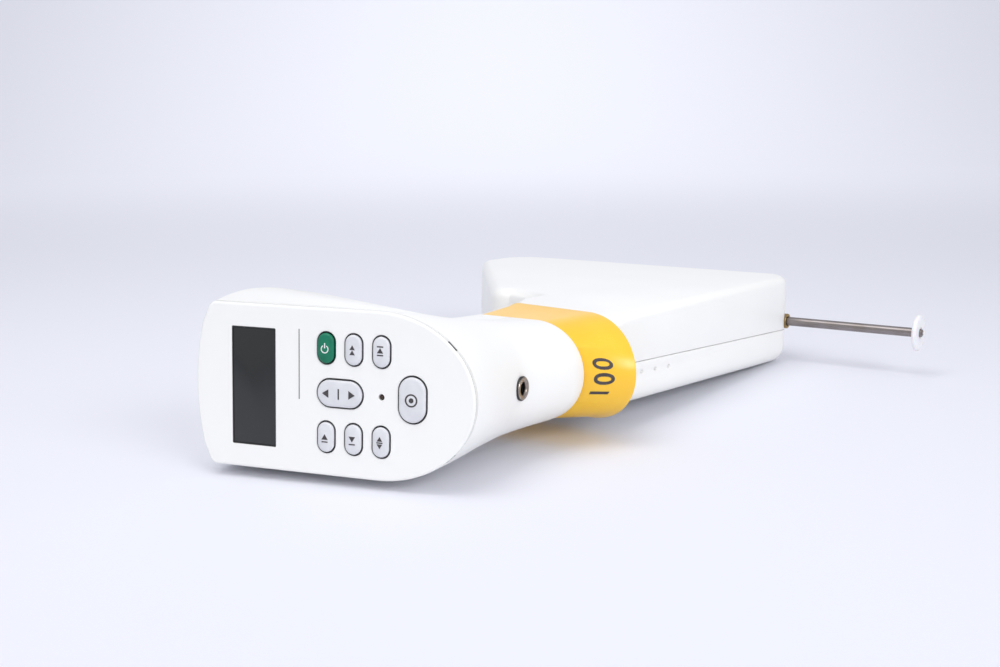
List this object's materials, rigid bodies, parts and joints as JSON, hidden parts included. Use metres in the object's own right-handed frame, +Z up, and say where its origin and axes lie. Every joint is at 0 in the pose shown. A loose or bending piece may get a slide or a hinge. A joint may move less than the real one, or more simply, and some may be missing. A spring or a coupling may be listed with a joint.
{
  "type": "electronic multichannel pipette",
  "caption": "Electronic multichannel pipette lying on its side, with a display and keypad on its head, a flared volume collar, a wide lower housing and a pull rod that sets the tip spacing.",
  "frame": {"origin": "middle of the floor area it covers, at the floor it lies on", "axes": "+X from the head towards the tips, +Y towards the pipette's back, +Z up from the floor"},
  "size_m": [0.306, 0.2164, 0.059],
  "materials": {
    "white_housing": "fine moulded satin",
    "panel": "smooth moulded",
    "collar": "glossy moulded",
    "keys": "matt",
    "power_key": "matt",
    "display_window": "clear window over a dark display",
    "display_module": "moulded",
    "keypad_mat": "matt",
    "circuit_board": "solder mask",
    "status_lamp": "light pipe",
    "jack": "moulded",
    "steel": "ground",
    "screws": "turned",
    "brass": "turned",
    "battery": "shrink sleeve",
    "chassis": "moulded",
    "motor": "turned",
    "cylinder_block": "moulded",
    "carriages": "moulded",
    "nozzles": "moulded",
    "knob": "glossy moulded"
  },
  "bodies": {
    "housing": {"front_cover": "white_housing", "rear_cover": "white_housing", "head_panel": "panel", "display_window": "display_window", "display_module": "display_module", "keypad_mat": "keypad_mat", "main_board": "circuit_board", "status_lamp": "status_lamp", "charge_jack": "jack", "jack_ring": "steel", "battery_pack": "battery", "trigger_switch": "circuit_board", "volume_collar": "collar", "neck_chassis": "chassis", "stepper_motor": "motor", "cylinder_block": "cylinder_block", "manifold_left_shell": "white_housing", "manifold_right_shell": "white_housing", "housing_screw_1": "screws", "housing_screw_2": "screws", "housing_screw_3": "screws", "housing_screw_4": "screws", "guide_rail_upper": "steel", "guide_rail_lower": "steel", "rod_bushing": "brass", "carriage_1": "carriages", "nozzle_1": "nozzles"},
    "key_power": {"key_power": "power_key"},
    "key_speed": {"key_speed": "keys"},
    "key_purge": {"key_purge": "keys"},
    "key_fill": {"key_fill": "keys"},
    "key_dispense": {"key_dispense": "keys"},
    "key_mix": {"key_mix": "keys"},
    "key_enter": {"key_enter": "keys"},
    "key_volume": {"key_volume": "keys"},
    "trigger": {"trigger": "white_housing"},
    "tip_ejector": {"eject_slider": "white_housing", "eject_rod": "steel", "eject_yoke": "steel", "stripper_bar": "white_housing"},
    "piston_drive": {"lead_screw": "steel", "piston_carrier": "steel"},
    "spacing_slide": {"spacing_rod": "steel", "rod_knob": "knob", "knob_screw": "screws", "carriage_8": "carriages", "nozzle_8": "nozzles"},
    "channel_2": {"carriage_2": "carriages", "nozzle_2": "nozzles"},
    "channel_3": {"carriage_3": "carriages", "nozzle_3": "nozzles"},
    "channel_4": {"carriage_4": "carriages", "nozzle_4": "nozzles"},
    "channel_5": {"carriage_5": "carriages", "nozzle_5": "nozzles"},
    "channel_6": {"carriage_6": "carriages", "nozzle_6": "nozzles"},
    "channel_7": {"carriage_7": "carriages", "nozzle_7": "nozzles"},
    "spacing_cam": {"spacing_cam": "steel"}
  },
  "joints": [
    {"name": "power_key_press", "type": "slide", "parent": "housing", "child": "key_power", "axis": [0.9691, 0.2419, -0.0484], "range_m": [0, 0.0008], "stiffness_N_per_m": 700, "springref_m": -0.0008},
    {"name": "speed_key_press", "type": "slide", "parent": "housing", "child": "key_speed", "axis": [0.9691, 0.2419, -0.0484], "range_m": [0, 0.0008], "stiffness_N_per_m": 700, "springref_m": -0.0008},
    {"name": "purge_key_press", "type": "slide", "parent": "housing", "child": "key_purge", "axis": [0.9691, 0.2419, -0.0484], "range_m": [0, 0.0008], "stiffness_N_per_m": 700, "springref_m": -0.0008},
    {"name": "fill_key_press", "type": "slide", "parent": "housing", "child": "key_fill", "axis": [0.9691, 0.2419, -0.0484], "range_m": [0, 0.0008], "stiffness_N_per_m": 700, "springref_m": -0.0008},
    {"name": "dispense_key_press", "type": "slide", "parent": "housing", "child": "key_dispense", "axis": [0.9691, 0.2419, -0.0484], "range_m": [0, 0.0008], "stiffness_N_per_m": 700, "springref_m": -0.0008},
    {"name": "mix_key_press", "type": "slide", "parent": "housing", "child": "key_mix", "axis": [0.9691, 0.2419, -0.0484], "range_m": [0, 0.0008], "stiffness_N_per_m": 700, "springref_m": -0.0008},
    {"name": "enter_key_press", "type": "slide", "parent": "housing", "child": "key_enter", "axis": [0.9691, 0.2419, -0.0484], "range_m": [0, 0.0008], "stiffness_N_per_m": 700, "springref_m": -0.0008},
    {"name": "volume_key_rock", "type": "hinge", "parent": "housing", "child": "key_volume", "pos_m": [-0.1367, 0.00095, 0.03009], "axis": [0.0499, 0, 0.9988], "range_deg": [-4, 4], "stiffness_Nm_per_rad": 0.05},
    {"name": "trigger_press", "type": "slide", "parent": "housing", "child": "trigger", "axis": [0, -1, 0], "range_m": [0, 0.0025], "stiffness_N_per_m": 800, "springref_m": -0.001},
    {"name": "eject_slide", "type": "slide", "parent": "housing", "child": "tip_ejector", "axis": [0.9988, 0, -0.0499], "range_m": [0, 0.008], "stiffness_N_per_m": 500, "springref_m": -0.004},
    {"name": "piston_slide", "type": "slide", "parent": "housing", "child": "piston_drive", "axis": [0.9988, 0, -0.0499], "range_m": [0, 0.016]},
    {"name": "spacing_rod_slide", "type": "slide", "parent": "housing", "child": "spacing_slide", "axis": [0, 1, 0], "range_m": [0, 0.0574]},
    {"name": "channel_2_slide", "type": "slide", "parent": "housing", "child": "channel_2", "axis": [0, 1, 0], "range_m": [0, 0.0082]},
    {"name": "channel_3_slide", "type": "slide", "parent": "housing", "child": "channel_3", "axis": [0, 1, 0], "range_m": [0, 0.0164]},
    {"name": "channel_4_slide", "type": "slide", "parent": "housing", "child": "channel_4", "axis": [0, 1, 0], "range_m": [0, 0.0246]},
    {"name": "channel_5_slide", "type": "slide", "parent": "housing", "child": "channel_5", "axis": [0, 1, 0], "range_m": [0, 0.0328]},
    {"name": "channel_6_slide", "type": "slide", "parent": "housing", "child": "channel_6", "axis": [0, 1, 0], "range_m": [0, 0.041]},
    {"name": "channel_7_slide", "type": "slide", "parent": "housing", "child": "channel_7", "axis": [0, 1, 0], "range_m": [0, 0.0492]},
    {"name": "spacing_cam_slide", "type": "slide", "parent": "housing", "child": "spacing_cam", "axis": [0.9988, 0, -0.0499], "range_m": [0, 0.02]}
  ],
  "couplings": [
    {"joint": "channel_2_slide", "follows": "spacing_rod_slide", "ratio": 0.14286},
    {"joint": "channel_3_slide", "follows": "spacing_rod_slide", "ratio": 0.28571},
    {"joint": "channel_4_slide", "follows": "spacing_rod_slide", "ratio": 0.42857},
    {"joint": "channel_5_slide", "follows": "spacing_rod_slide", "ratio": 0.57143},
    {"joint": "channel_6_slide", "follows": "spacing_rod_slide", "ratio": 0.71429},
    {"joint": "channel_7_slide", "follows": "spacing_rod_slide", "ratio": 0.85714},
    {"joint": "spacing_cam_slide", "follows": "spacing_rod_slide", "ratio": 0.34843}
  ]
}
